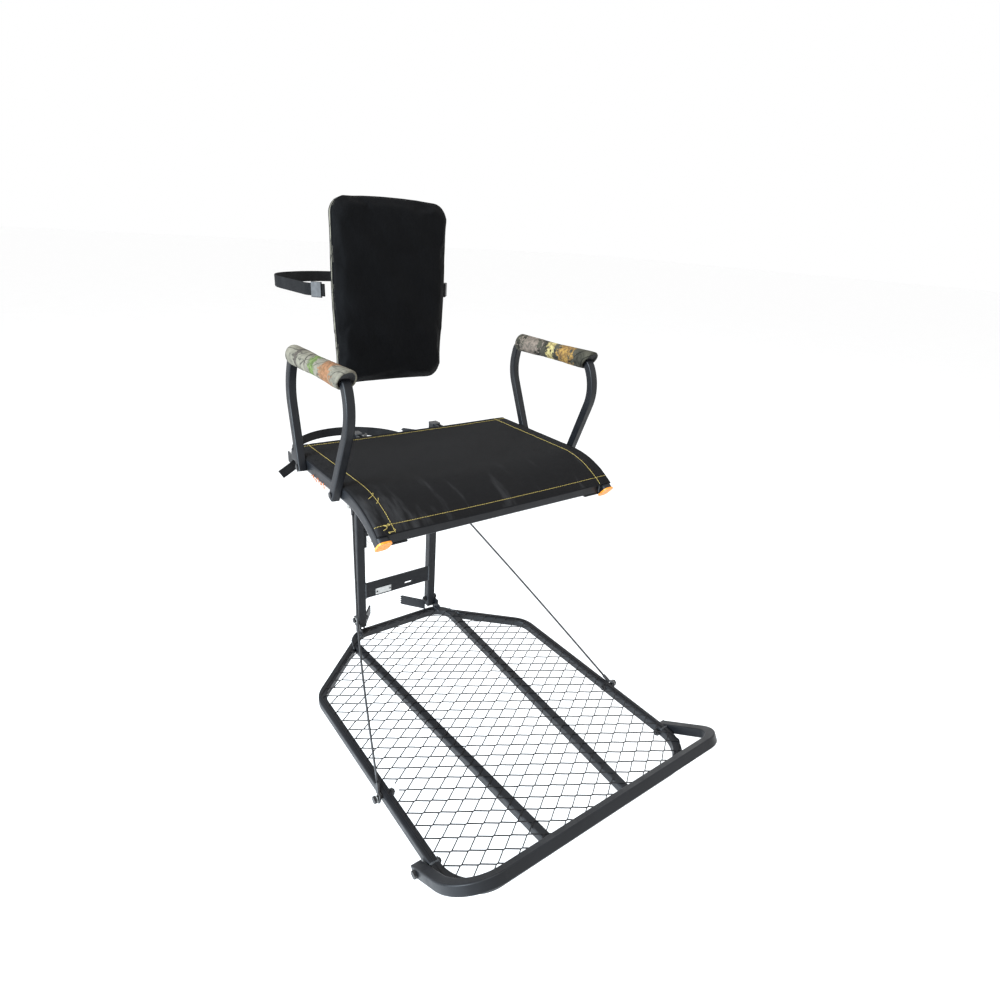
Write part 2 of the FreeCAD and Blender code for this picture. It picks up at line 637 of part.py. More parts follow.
# ---- footrest ----
def make_footrest():
    tail, reach, size = d.foot_tail, d.foot_reach, d.foot_size
    path = [(d.foot_x, tail), (d.foot_x, -reach), (-d.foot_x, -reach), (-d.foot_x, tail)]
    bow = swept("footrest_bow", "XY_Plane", path, [0, d.foot_bend_left, d.foot_bend, 0],
                (size, size), d.tube_round, d.wall)
    holes = [(d.hole_rad, 40.0, (d.foot_x - 20, 0, 0)), (d.hole_rad, 40.0, (-d.foot_x - 20, 0, 0))]
    obj = drilled("footrest_tube", bow, holes)
    keep("footrest_tube", put(obj, (0, d.foot_y, d.foot_z), (1, 0, 0), -d.foot_angle.value))
    caps = []
    for side, x in (("left", d.foot_x), ("right", -d.foot_x)):
        stem = size - 2 * d.wall - 1.4
        caps += [fuse(f"{side}_foot_plug", [
            box(f"{side}_foot_cap", (size, 2.5, size), (x - size / 2, tail, -(size / 2))),
            box(f"{side}_foot_stem", (stem, 6.0, stem), (x - stem / 2, tail - 5, -(stem / 2)))])]
    plugs = group("footrest_plugs", caps)
    keep("footrest_plugs", put(plugs, (0, d.foot_y, d.foot_z), (1, 0, 0), -d.foot_angle.value))


# ---- seat ----
def rail_path():
    return [(d.rail_rear, d.rail_z), (d.rail_corner, d.rail_z), (d.rail_nose_y, d.rail_nose_z)]


ARM_PATH = [(-199.06, 5.0), (-139.0, 160.0), (-158.0, 225.0), (-390.0, 225.0),
            (-418.0, 170.0), (-353.94, 5.0)]
ARM_BENDS = [0, 100.0, 30.0, 30.0, 92.0, 0]
ARM_BOLT_Y = (-195.6, -357.4)


def make_rails():
    rail = swept("rail_tube", "YZ_Plane", rail_path(), [0, d.rail_bend, 0],
                 (d.rail_tall, d.rail_wide), d.rail_round, d.wall)
    put(rail, (d.rail_x, 0, 0))
    pair("seat_rail", drilled("left_seat_rail", rail, [
        (3.05, 50.0, (d.rail_x - 25, y, d.arm_bolt_z)) for y in ARM_BOLT_Y]))
    slope = math.atan2(DIMENSIONS["rail_z"] - DIMENSIONS["rail_nose_z"],
                       DIMENSIONS["rail_corner"] - DIMENSIONS["rail_nose_y"])
    ends = (("nose", (d.rail_x, d.rail_nose_y, d.rail_nose_z), math.degrees(slope) + 90,
             d.cap_wide, d.cap_tall, d.cap_thick, 9.0),
            ("heel", (d.rail_x, d.rail_rear, d.rail_z), -90.0,
             d.rail_wide, d.rail_tall, 2.0, 7.0))
    for name, at, angle, wide, tall, thick, rounding in ends:
        body = doc.addObject("PartDesign::Body", f"left_{name}_cap")
        for kind, w, t, length, below, corner in (
                ("flange", wide, tall, thick, False, rounding),
                ("stem", d.rail_wide - 3.6, d.rail_tall - 3.6, 12.0, True, 6.0)):
            outline = new_sketch(body, "XY_Plane", f"{name}_{kind}")
            ring(outline, w, t, corner)
            pad = body.newObject("PartDesign::Pad", f"{name}_{kind}_pad")
            pad.Profile, pad.Reversed = outline, below
            bind(pad, "Length", length)
            doc.recompute()
        put(body, at, (1, 0, 0), angle)
        if name == "nose":
            pair("rail_cap", body)
        else:
            keep("rail_rear_plugs", group("rail_rear_plugs",
                                          [body, mirror("right_heel_cap", body)]))


def make_seat_bars():
    inside = d.rail_x - d.rail_wide / 2
    keep("seat_rear_tube", square_tube("seat_rear_tube", "YZ_Plane", d.seat_bar, 2 * inside,
                                       (0, d.seat_bar_y, d.rail_z), d.wall))
    keep("seat_front_tube", square_tube("seat_front_tube", "YZ_Plane", d.nose_bar, 2 * inside,
                                        (0, d.nose_bar_y, d.nose_bar_z), d.wall))
    gusset = box("left_gusset", (40.0, d.nose_bar, 3.0),
                 (inside - 40, d.nose_bar_y - d.nose_bar / 2, d.nose_bar_z - d.nose_bar / 2 - 3))
    keep("seat_gussets", group("seat_gussets", [gusset, mirror("right_gusset", gusset)]))
    low = d.upright_x - d.seat_ear / 2
    rear = d.seat_bar_y + d.seat_bar / 2
    ear = fuse("seat_ear_blank", [
        box("seat_ear_arm", (d.seat_ear, d.seat_pin_y - rear, 2 * d.seat_ear_rad),
            (low, rear, d.seat_pin_z - d.seat_ear_rad)),
        rod("seat_ear_eye", d.seat_ear_rad, d.seat_ear, (low, d.seat_pin_y, d.seat_pin_z))])
    pair("seat_ear", drilled("left_seat_ear", ear, [
        (d.hole_rad, 30.0, (low - 10, d.seat_pin_y, d.seat_pin_z))]))


def make_cloth():
    top = d.rail_z + d.rail_tall / 2 + d.cloth_thick / 2 + 0.1
    cloth = swept("seat_fabric", "YZ_Plane",
                  [(-122.0, top), (-449.4, top), (-505.3, top - 43.95)],
                  [0, 204.9, 0], (d.cloth_thick, d.cloth_wide))
    keep("seat_fabric", put(cloth, (0, 0, 0)))


def make_armrests():
    size = d.arm_size
    bar = swept("arm_bar", "YZ_Plane", ARM_PATH, ARM_BENDS, (size, size), d.tube_round, d.wall)
    solid = swept("arm_envelope", "YZ_Plane", ARM_PATH, ARM_BENDS, (size, size), d.tube_round)
    for obj in (bar, solid):
        put(obj, (d.arm_foot_x, 0, d.arm_foot_z), (0, 1, 0), -d.arm_lean.value)
    pair("armrest_tube", drilled("left_armrest_tube", bar, [
        (3.05, 50.0, (d.arm_foot_x - 25, y, d.arm_bolt_z)) for y in ARM_BOLT_Y]))
    lean, tall = math.radians(d.arm_lean.value), ARM_PATH[2][1]
    top = (d.arm_foot_x - tall * math.sin(lean), d.arm_foot_z + tall * math.cos(lean))
    pad = rod("arm_pad_blank", d.pad_rad, d.pad_long,
              (top[0], d.pad_rear - d.pad_long, top[1]), "Y")
    pair("arm_pad", cut("left_arm_pad", pad, solid))
    bolts = []
    for n, y in enumerate(ARM_BOLT_Y):
        one = fuse(f"arm_bolt_{n}", [
            rod(f"arm_head_{n}", 5.5, 1.8, (d.arm_foot_x + 8.0, y, d.arm_bolt_z)),
            rod(f"arm_shank_{n}", 3.0, 50.0, (d.arm_foot_x + 9 - 50, y, d.arm_bolt_z)),
            hexagon(f"arm_nut_{n}", 5.8, 5.0, (d.rail_x - d.rail_wide / 2 - 5, y, d.arm_bolt_z))])
        bolts += [one, mirror(f"arm_bolt_right_{n}", one)]
    keep("armrest_bolts", group("armrest_bolts", bolts))


# ---- backrest ----
def make_backrest():
    low, high = 0.0, d.back_high - d.back_low
    half = d.back_wide / 2
    outline = [(-half + 10, low), (half - 10, low), (half, high / 2), (half - 3, high),
               (-half + 3, high), (-half, high / 2)]
    r = d.back_round
    body = plate("backrest_pad", "XZ_Plane", outline, [r, r, 1200.0, r, r, 1200.0], d.back_thick)
    doc.recompute()
    fillet = body.newObject("PartDesign::Fillet", "backrest_round")
    pad = body.getObject("backrest_pad_pad")
    flats = [i for i, f in enumerate(pad.Shape.Faces, 1) if abs(f.normalAt(0, 0).y) > 0.9]
    fillet.Base = (pad, [f"Face{i}" for i in flats])
    fillet.Radius = 12.0
    body.Tip = fillet
    keep("backrest_pad", put(body, (0, d.back_rear, d.back_low)))
    loop_strap("backrest_strap", [(147.6, -19.0), (176.0, 14.0), (186.0, 245.7)],
               [20.0, 162.0], 365.6, 162.0,
               d.back_strap_z)
    sleeves = []
    for side in (1, -1):
        body = doc.addObject("PartDesign::Body", f"sleeve_{side + 1}")
        outline = new_sketch(body, "XZ_Plane", f"sleeve_{side + 1}_section")
        ring(outline, 7.0, d.web_wide + 6, 2.0)
        ring(outline, d.web_thick + 0.4, d.web_wide + 0.4, 0.0)
        pad = body.newObject("PartDesign::Pad", f"sleeve_{side + 1}_pad")
        pad.Profile, pad.Length, pad.Midplane = outline, 22.0, True
        angle = -side * math.degrees(math.atan2(28.4, 33.0))
        put(body, (side * 160.0, -4.6, d.back_strap_z), (0, 0, 1), angle)
        sleeves.append(body)
    keep("backrest_adjusters", group("backrest_adjusters", sleeves))


def check_document():
    for obj in doc.Objects:
        state = " ".join(obj.State)
        if "Invalid" in state or "Error" in state:
            raise RuntimeError(f"{obj.Label}: {state}")
    for name, obj in parts.items():
        if obj.Shape.isNull() or not obj.Shape.isValid() or not obj.Shape.Solids:
            raise RuntimeError(name + ": the shape is empty or not valid")


def main():
    for make in (make_uprights, make_crossbars, make_blades, make_strap_plates,
                 make_seat_lugs, make_post_bolts, make_tree_strap, make_lock_pin,
                 make_platform_frame, make_mesh, make_platform_ears, make_cables,
                 make_footrest, make_rails, make_seat_bars, make_cloth, make_armrests,
                 make_backrest):
        make()
        doc.recompute()
    check_document()
    os.makedirs("parts", exist_ok=True)
    for name, obj in parts.items():
        obj.Shape.exportStep(f"parts/{name}.step")
        box_ = obj.Shape.BoundBox
        print(f"{name:22s} solids {len(obj.Shape.Solids)} volume {obj.Shape.Volume:10.0f}"
              f"  x {box_.XMin:7.1f} {box_.XMax:7.1f}  y {box_.YMin:7.1f} {box_.YMax:7.1f}"
              f"  z {box_.ZMin:7.1f} {box_.ZMax:7.1f}")


main()
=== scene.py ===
"""Looks of the hang-on tree stand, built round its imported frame. Metres, row frame."""

import json
import math
import random

import bpy
import numpy as np
from mathutils import Matrix, Vector, noise
from mathutils.bvhtree import BVHTree


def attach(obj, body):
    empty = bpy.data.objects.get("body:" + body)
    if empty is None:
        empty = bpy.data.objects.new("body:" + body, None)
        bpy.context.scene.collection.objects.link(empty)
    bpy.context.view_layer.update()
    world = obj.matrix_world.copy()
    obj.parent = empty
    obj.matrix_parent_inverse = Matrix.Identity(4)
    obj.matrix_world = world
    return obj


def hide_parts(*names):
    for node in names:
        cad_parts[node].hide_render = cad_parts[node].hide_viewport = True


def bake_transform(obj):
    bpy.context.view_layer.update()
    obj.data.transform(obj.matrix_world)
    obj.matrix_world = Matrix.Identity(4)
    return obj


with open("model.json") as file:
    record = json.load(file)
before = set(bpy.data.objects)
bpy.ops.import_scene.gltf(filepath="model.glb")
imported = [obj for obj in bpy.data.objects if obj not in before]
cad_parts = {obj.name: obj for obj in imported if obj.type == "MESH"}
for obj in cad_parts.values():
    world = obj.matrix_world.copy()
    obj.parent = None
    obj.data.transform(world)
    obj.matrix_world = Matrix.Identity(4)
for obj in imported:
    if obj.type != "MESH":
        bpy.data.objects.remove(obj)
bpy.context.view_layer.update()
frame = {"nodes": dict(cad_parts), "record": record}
random.seed(7)


# ---------------------------------------------------------------- materials
class Paint:
    """A material and short ways to add nodes to it."""

    def __init__(self, name, **sockets):
        self.mat = bpy.data.materials.new(name)
        self.mat.use_nodes = True
        self.tree = self.mat.node_tree
        self.bsdf = next(n for n in self.tree.nodes if n.type == "BSDF_PRINCIPLED")
        self.place = self.add("TexCoord", out="Object")
        for key, value in sockets.items():
            self.put(self.bsdf, key.replace("_", " "), value)

    def put(self, node, key, value):
        socket = node.inputs[key]
        if isinstance(value, bpy.types.NodeSocket):
            self.tree.links.new(value, socket)
        else:
            socket.default_value = value

    def add(self, kind, inputs=None, out=0, **settings):
        node = self.tree.nodes.new("ShaderNode" + kind)
        for key, value in settings.items():
            setattr(node, key, value)
        for key, value in (inputs or {}).items():
            self.put(node, key, value)
        return node.outputs[out]

    def scaled(self, x, y, z, turn=(0, 0, 0), vector=None):
        return self.add("Mapping", {"Vector": vector or self.place, "Scale": (x, y, z),
                                    "Rotation": turn})

    def noise(self, scale, detail=3.0, rough=0.55, vector=None, warp=0.0):
        return self.add("TexNoise", {"Vector": vector or self.place, "Scale": scale,
                                     "Detail": detail, "Roughness": rough,
                                     "Distortion": warp})

    def wave(self, scale, direction="X", vector=None, warp=0.0):
        return self.add("TexWave", {"Vector": vector or self.place, "Scale": scale,
                                    "Distortion": warp}, bands_direction=direction)

    def cells(self, scale, vector=None, feature="F1", out="Distance"):
        return self.add("TexVoronoi", {"Vector": vector or self.place, "Scale": scale},
                        out=out, feature=feature)

    def ramp(self, fac, *stops):
        output = self.add("ValToRGB", {"Fac": fac})
        band = output.node.color_ramp
        while len(band.elements) < len(stops):
            band.elements.new(0.5)
        for element, (spot, colour) in zip(band.elements, stops):
            element.position = spot
            if not hasattr(colour, "__len__"):
                colour = (colour,) * 3
            element.color = (*colour, 1.0)
        return output

    def mix(self, fac, one, two, blend="MIX"):
        output = self.add("Mix", out=2, data_type="RGBA", blend_type=blend)
        for index, value in ((0, fac), (6, one), (7, two)):
            socket = output.node.inputs[index]
            if isinstance(value, bpy.types.NodeSocket):
                self.tree.links.new(value, socket)
            elif hasattr(value, "__len__"):
                socket.default_value = (*value, 1.0)[:4]
            else:
                socket.default_value = value
        return output

    def sum(self, operation, one, two=0.0):
        output = self.add("Math", operation=operation)
        for index, value in enumerate((one, two)):
            if isinstance(value, bpy.types.NodeSocket):
                self.tree.links.new(value, output.node.inputs[index])
            else:
                output.node.inputs[index].default_value = value
        return output

    def bump(self, height, distance, strength=1.0, under=None):
        inputs = {"Height": height, "Distance": distance, "Strength": strength}
        if under is not None:
            inputs["Normal"] = under
        return self.add("Bump", inputs)

    def finish(self, colour=None, rough=None, normal=None):
        for key, value in (("Base Color", colour), ("Roughness", rough), ("Normal", normal)):
            if value is not None:
                self.put(self.bsdf, key, value)
        return self.mat


def powder_coat(name="powder_coat", dark=(0.004, 0.0046, 0.006), light=(0.0085, 0.0098, 0.0125)):
    p = Paint(name, Specular_IOR_Level=0.3)
    patches = p.noise(9.0, 5.0)
    colour = p.ramp(patches, (0.3, dark), (0.75, light))
    dust = p.ramp(p.noise(60.0, 6.0, 0.7), (0.58, 0.0), (0.8, 1.0))
    colour = p.mix(p.sum("MULTIPLY", dust, 0.14), colour, (0.05, 0.05, 0.05))
    rough = p.ramp(p.noise(34.0, 4.0), (0.3, 0.36), (0.75, 0.54))
    peel = p.bump(p.noise(900.0, 2.0), 0.00012, 0.7)
    return p.finish(colour, rough, p.bump(p.noise(90.0, 2.0), 0.0001, 0.5, peel))


def weld_metal():
    p = Paint("weld_bead")
    colour = p.ramp(p.noise(300.0, 4.0), (0.3, (0.018, 0.02, 0.023)), (0.8, (0.045, 0.05, 0.055)))
    return p.finish(colour, p.ramp(p.noise(200.0), (0.2, 0.35), (0.8, 0.6)),
                    p.bump(p.noise(700.0, 3.0), 0.0003, 0.8))


def black_hardware():
    p = Paint("black_hardware", Metallic=0.7)
    colour = p.ramp(p.noise(220.0, 5.0), (0.3, (0.012, 0.012, 0.013)), (0.8, (0.05, 0.05, 0.052)))
    return p.finish(colour, p.ramp(p.noise(160.0), (0.3, 0.34), (0.7, 0.58)),
                    p.bump(p.noise(900.0, 2.0), 0.00008, 0.6))


def zinc_hardware():
    p = Paint("zinc_hardware", Metallic=1.0)
    colour = p.ramp(p.cells(420.0), (0.1, (0.34, 0.34, 0.33)), (0.7, (0.56, 0.56, 0.54)))
    grime = p.ramp(p.noise(70.0, 5.0), (0.5, 0.0), (0.75, 0.7))
    return p.finish(p.mix(grime, colour, (0.1, 0.095, 0.085)),
                    p.ramp(p.noise(260.0), (0.3, 0.28), (0.7, 0.5)),
                    p.bump(p.noise(800.0, 2.0), 0.00006, 0.6))


def webbing():
    """Woven strap; the pattern follows the strap's own length and width."""
    p = Paint("webbing", Specular_IOR_Level=0.15)
    along = p.add("UVMap", uv_map="UVMap")
    picks = p.wave(100.0, "X", along)
    warps = p.wave(150.0, "Y", along)
    weave = p.sum("MULTIPLY", picks, warps)
    colour = p.ramp(weave, (0.0, (0.004, 0.004, 0.0045)), (1.0, (0.016, 0.016, 0.017)))
    fade = p.ramp(p.noise(25.0, 4.0), (0.45, 0.0), (0.8, 0.35))
    return p.finish(p.mix(fade, colour, (0.025, 0.025, 0.025)), 0.88,
                    p.bump(weave, 0.0005, 0.8))


def black_plastic():
    p = Paint("black_plastic")
    colour = p.ramp(p.noise(40.0, 4.0), (0.3, (0.012, 0.012, 0.013)), (0.8, (0.026, 0.026, 0.028)))
    return p.finish(colour, p.ramp(p.noise(120.0), (0.3, 0.4), (0.7, 0.55)),
                    p.bump(p.noise(1500.0, 2.0), 0.00006, 0.6))


def orange_plastic():
    p = Paint("orange_plastic", Specular_IOR_Level=0.3)
    colour = p.ramp(p.noise(55.0, 3.0), (0.3, (0.72, 0.23, 0.018)), (0.75, (0.85, 0.31, 0.03)))
    return p.finish(colour, p.ramp(p.noise(140.0), (0.3, 0.3), (0.7, 0.44)),
                    p.bump(p.noise(260.0, 2.0), 0.00012, 0.5))


def seat_textile():
    """Basket weave of coated yarn: painted sheen on the crowns, painted shade in the gaps, and
    painted highlight streaks on the front curve.
    """
    p = Paint("seat_textile", Sheen_Weight=0.01, Specular_IOR_Level=0.07)
    across = p.wave(230.0, "X")
    along = p.wave(230.0, "Y")
    basket = p.sum("ABSOLUTE", p.sum("SUBTRACT", across, along))
    # painted light: the weave's crowns are painted lighter as sheen and its gaps painted darker as
    # shade
    colour = p.ramp(basket, (0.0, (0.0038, 0.0037, 0.004)), (0.9, (0.0105, 0.01, 0.0102)))
    slub = p.noise(1.0, 4.0, 0.6, p.scaled(700.0, 16.0, 16.0))
    colour = p.mix(p.ramp(slub, (0.35, 0.0), (0.75, 0.3)), colour, (0.013, 0.0127, 0.0135))
    cloud = p.ramp(p.noise(7.0, 4.0), (0.35, 0.0), (0.7, 0.35))
    colour = p.mix(cloud, colour, (0.007, 0.007, 0.0075))
    # painted highlight: lighter streaks on the seat's front curve stand in for its reflection of the
    # light
    front = p.ramp(p.sum("MULTIPLY", p.add("SeparateXYZ", {"Vector": p.place}, out="Y"), -1.0),
                   (0.37, 0.0), (0.44, 1.0))
    front_sheen_streaks = p.ramp(p.noise(1.0, 4.0, 0.6, p.scaled(26.0, 5.0, 5.0, (0, 0, 0.35))),
                  (0.55, 0.0), (0.72, 1.0))
    colour = p.mix(p.sum("MULTIPLY", p.sum("MULTIPLY", front, front_sheen_streaks), 0.55), colour,
                   (0.055, 0.055, 0.057))
    return p.finish(colour, p.ramp(basket, (0.0, 0.85), (1.0, 0.7)),
                    p.bump(basket, 0.00045, 0.7))


def hem_cloth():
    p = Paint("hem_binding", Specular_IOR_Level=0.12)
    ribs = p.wave(420.0, "X")
    colour = p.ramp(ribs, (0.0, (0.004, 0.004, 0.0045)), (1.0, (0.01, 0.01, 0.011)))
    return p.finish(colour, 0.9, p.bump(ribs, 0.0003, 0.6))


def cover_cloth():
    """Smooth dark cover of the backrest."""
    p = Paint("backrest_cover", Specular_IOR_Level=0.06)
    threads = p.sum("ADD", p.wave(620.0, "X"), p.wave(620.0, "Z"))
    colour = p.ramp(p.noise(14.0, 5.0), (0.3, (0.0021, 0.0022, 0.0026)),
                    (0.75, (0.0039, 0.0041, 0.0047)))
    lint = p.ramp(p.noise(380.0, 2.0, 0.8), (0.7, 0.0), (0.8, 0.35))
    folds = p.noise(1.0, 3.0, 0.5, p.scaled(26.0, 10.0, 9.0, (0, 0.72, 0)), 0.9)
    return p.finish(p.mix(lint, colour, (0.0096, 0.0099, 0.0108)), 0.62,
                    p.bump(folds, 0.0035, 0.45, p.bump(threads, 0.0002, 0.5)))


def leaf_print(name, ground, shade, streak, patches, bark):
    """Printed woodland cloth: soft ground, bark cracks and leaf patches along Y."""
    p = Paint(name, Specular_IOR_Level=0.12)
    colour = p.ramp(p.noise(38.0, 6.0, 0.65, warp=0.8), (0.32, shade), (0.5, ground),
                    (0.72, tuple(min(1.0, c * 1.3) for c in ground)))
    cracks = p.noise(1.0, 5.0, 0.7, p.scaled(70.0, 24.0 if bark else 70.0, 70.0), 1.2)
    colour = p.mix(p.ramp(cracks, (0.0, 1.0), (0.36, 0.75), (0.43, 0.0)), colour, streak)
    twigs = p.wave(15.0, "DIAGONAL", warp=9.0)
    colour = p.mix(p.ramp(twigs, (0.0, 0.8), (0.05, 0.0)), colour, streak)
    spots = p.add("SeparateXYZ", {"Vector": p.place}, out="Y")
    edges = p.noise(55.0, 3.0, 0.6, warp=2.2)
    for y, wide, tint, other in patches:
        near = p.sum("SUBTRACT", 1.0, p.sum("DIVIDE", p.sum(
            "ABSOLUTE", p.sum("SUBTRACT", spots, y)), wide))
        mask = p.ramp(p.sum("ADD", p.sum("MULTIPLY", near, 0.42), edges),
                      (0.68, 0.0), (0.71, 1.0))
        veins = p.mix(p.ramp(p.noise(150.0, 3.0), (0.4, 0.0), (0.6, 1.0)), tint, other)
        colour = p.mix(mask, colour, veins)
    weave = p.sum("ADD", p.wave(520.0, "Y"), p.wave(520.0, "Z"))
    return p.finish(colour, 0.8, p.bump(p.noise(60.0, 3.0), 0.001, 0.5,
                                        p.bump(weave, 0.0002, 0.5)))


def foam_black():
    p = Paint("open_foam")
    pores = p.cells(900.0)
    colour = p.ramp(pores, (0.1, (0.004, 0.004, 0.004)), (0.6, (0.02, 0.02, 0.021)))
    return p.finish(colour, 0.9, p.bump(pores, 0.0006, 0.8))


def thread(name, dark, light):
    p = Paint(name, Specular_IOR_Level=0.2)
    twist = p.wave(900.0, "DIAGONAL")
    colour = p.ramp(twist, (0.0, dark), (1.0, light))
    return p.finish(colour, 0.7, p.bump(twist, 0.0002, 0.6))


def cable_cover():
    p = Paint("cable_cover")
    lay = p.wave(160.0, "DIAGONAL")
    colour = p.ramp(p.noise(80.0, 4.0), (0.3, (0.008, 0.008, 0.009)), (0.8, (0.022, 0.022, 0.024)))
    return p.finish(colour, 0.42, p.bump(lay, 0.0002, 0.5))


def plate_metal():
    p = Paint("blank_plate", Metallic=0.45)
    brushed = p.noise(1.0, 4.0, 0.6, p.scaled(40.0, 900.0, 900.0))
    colour = p.ramp(brushed, (0.3, (0.5, 0.5, 0.49)), (0.8, (0.72, 0.72, 0.7)))
    return p.finish(colour, 0.5, p.bump(brushed, 0.00005, 0.5))


def pale_floor():
    p = Paint("pale_floor")
    colour = p.ramp(p.noise(3.0, 3.0), (0.3, (0.98, 0.98, 0.98)), (0.7, (0.99, 0.99, 0.99)))
    return p.finish(colour, 0.9)


LIGHT_PRINT = dict(ground=(0.15, 0.14, 0.11), shade=(0.075, 0.07, 0.058),
                   streak=(0.02, 0.018, 0.016), bark=True)
M = {
    "powder_coat": powder_coat(), "black_hardware": black_hardware(),
    "zinc_hardware": zinc_hardware(), "webbing": webbing(), "black_plastic": black_plastic(),
    "orange_plastic": orange_plastic(), "plate_metal": plate_metal(),
    "cable_jacket": cable_cover(), "seat_textile": seat_textile(), "hem": hem_cloth(),
    "backrest_cover": cover_cloth(), "weld": weld_metal(), "foam": foam_black(),
    "thread": thread("gold_thread", (0.38, 0.28, 0.07), (0.62, 0.5, 0.16)),
    "red_thread": thread("red_thread", (0.35, 0.09, 0.03), (0.55, 0.18, 0.07)),
    "floor": pale_floor(),
    "mesh": powder_coat("mesh_coat", (0.004, 0.004, 0.005), (0.009, 0.009, 0.01)),
    "light_pad_cover": leaf_print("light_pad_cover", patches=[
        (-0.345, 0.036, (0.23, 0.115, 0.06), (0.13, 0.07, 0.035)),
        (-0.286, 0.02, (0.12, 0.165, 0.055), (0.06, 0.085, 0.03)),
        (-0.258, 0.004, (0.04, 0.036, 0.03), (0.07, 0.06, 0.05)),
        (-0.216, 0.012, (0.04, 0.036, 0.03), (0.07, 0.06, 0.05))], **LIGHT_PRINT),
    "dark_pad_cover": leaf_print(
        "dark_pad_cover", (0.05, 0.047, 0.035), (0.012, 0.012, 0.01), (0.006, 0.006, 0.005),
        [(-0.335, 0.035, (0.30, 0.18, 0.05), (0.12, 0.07, 0.03)),
         (-0.285, 0.018, (0.42, 0.36, 0.16), (0.2, 0.15, 0.06)),
         (-0.215, 0.05, (0.2, 0.16, 0.13), (0.1, 0.085, 0.07))], False),
    "gusset": leaf_print("gusset_print", patches=[], **LIGHT_PRINT),
}
M["cable_crimp"] = M["cable_jacket"]


# ---------------------------------------------------------------- mesh helpers
def make_mesh(name, verts, faces, material, uvs=None, smooth=True):
    data = bpy.data.meshes.new(name)
    data.from_pydata([tuple(v) for v in verts], [], faces)
    data.validate()
    if uvs is not None:
        layer = data.uv_layers.new(name="UVMap")
        for loop in data.loops:
            layer.data[loop.index].uv = uvs[loop.vertex_index]
    data.polygons.foreach_set("use_smooth", [smooth] * len(data.polygons))
    data.materials.append(material)
    obj = bpy.data.objects.new(name, data)
    bpy.context.scene.collection.objects.link(obj)
    return obj


def loft(rings, closed=True, caps=True):
    """Faces between rings of points, each ring a closed loop of the same count."""
    count = len(rings[0])
    verts = [p for ring in rings for p in ring]
    faces = []
    for i in range(len(rings) - 1):
        for j in range(count if closed else count - 1):
            k = (j + 1) % count
            faces.append((i * count + j, i * count + k, (i + 1) * count + k, (i + 1) * count + j))
    if caps:
        faces.append(tuple(reversed(range(count))))
        last = (len(rings) - 1) * count
        faces.append(tuple(range(last, last + count)))
    return verts, faces


def join_parts(chunks):
    verts, faces = [], []
    for v, f in chunks:
        base = len(verts)
        verts += list(v)
        faces += [tuple(i + base for i in face) for face in f]
    return verts, faces


def tube_rings(points, radius, sides=8, lump=0.0, closed=False):
    """Round rings along points; radius may swell with a seeded lump."""
    rings, normal = [], None
    count = len(points)
    for i, p in enumerate(points):
        before = points[i - 1] if closed or i else points[i]
        after = points[(i + 1) % count] if closed or i < count - 1 else points[i]
        along = (after - before).normalized()
        if normal is None:
            normal = along.orthogonal().normalized()
        normal = (normal - along * normal.dot(along)).normalized()
        other = along.cross(normal)
        r = radius * (1 + lump * noise.noise(p * 330.0)) if lump else radius
        rings.append([p + (normal * math.cos(a) + other * math.sin(a)) * r
                      for a in (2 * math.pi * k / sides for k in range(sides))])
    if closed:
        rings.append(rings[0])
    return rings


def arc_between(centre, first, last, count):
    """Points round a centre from one spoke to another."""
    turn, axis = first.angle(last), first.cross(last).normalized()
    return [centre + Matrix.Rotation(turn * k / count, 3, axis) @ first
            for k in range(count + 1)]


def strap_line(corners, radii, step=0.005):
    """Points along a strap's flat path: straight runs and the arcs between them."""
    pts = [Vector(c) for c in corners]
    line = [pts[0]]
    for i in range(1, len(pts) - 1):
        back, ahead = (pts[i - 1] - pts[i]).normalized(), (pts[i + 1] - pts[i]).normalized()
        half = back.angle(ahead) / 2
        reach = radii[i] / math.tan(half)
        centre = pts[i] + (back + ahead).normalized() * (radii[i] / math.sin(half))
        first, last = pts[i] + back * reach - centre, pts[i] + ahead * reach - centre
        count = max(4, int(radii[i] * first.angle(last) / step))
        line += arc_between(centre, first, last, count)
    line.append(pts[-1])
    full = [line[0]]
    for p in line[1:]:
        gap = (p - full[-1]).length
        if gap < 1e-5:
            continue
        pieces = max(1, round(gap / step))
        start = full[-1]
        full += [start.lerp(p, (k + 1) / pieces) for k in range(pieces)]
    return full


def ribbon(name, line, width, thick, material, body, node=None, wave=0.0,
           place=Matrix.Identity(4)):
    """Flat webbing standing on edge along a line: thick selvedges and soft ripples."""
    rings, spots, long = [], [], 0.0
    half = width / 2
    section = []
    for k in range(17):
        z = -half + width * k / 16
        edge = abs(z) / half
        section.append((thick / 2 * (1.0 if 0.8 < edge < 0.99 else 0.82 if edge < 0.8 else 0.3), z))
    loop = section + [(-a, z) for a, z in reversed(section)]
    for i, p in enumerate(line):
        ahead = (line[min(i + 1, len(line) - 1)] - line[max(i - 1, 0)]).normalized()
        out = Vector((ahead.y, -ahead.x, 0))
        if i:
            long += (p - line[i - 1]).length
        bend = wave * noise.noise(Vector((long * 16.0, 1.7, width)))
        ring = []
        for a, z in loop:
            ring.append(p + out * (a + bend) + Vector((0, 0, z + 0.3 * bend)))
            spots.append((long, z + (0.0 if a > 0 else 0.05)))
        rings.append(ring)
    verts, faces = loft(rings)
    obj = make_mesh(name, [place @ p for p in verts], faces, material, spots)
    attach(obj, body)
    if node:
        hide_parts(node)
    return obj


def aim(obj, spot, target=(0, -0.4, 0.4)):
    obj.location = spot
    obj.rotation_euler = (Vector(target) - Vector(spot)).to_track_quat("-Z", "Y").to_euler()


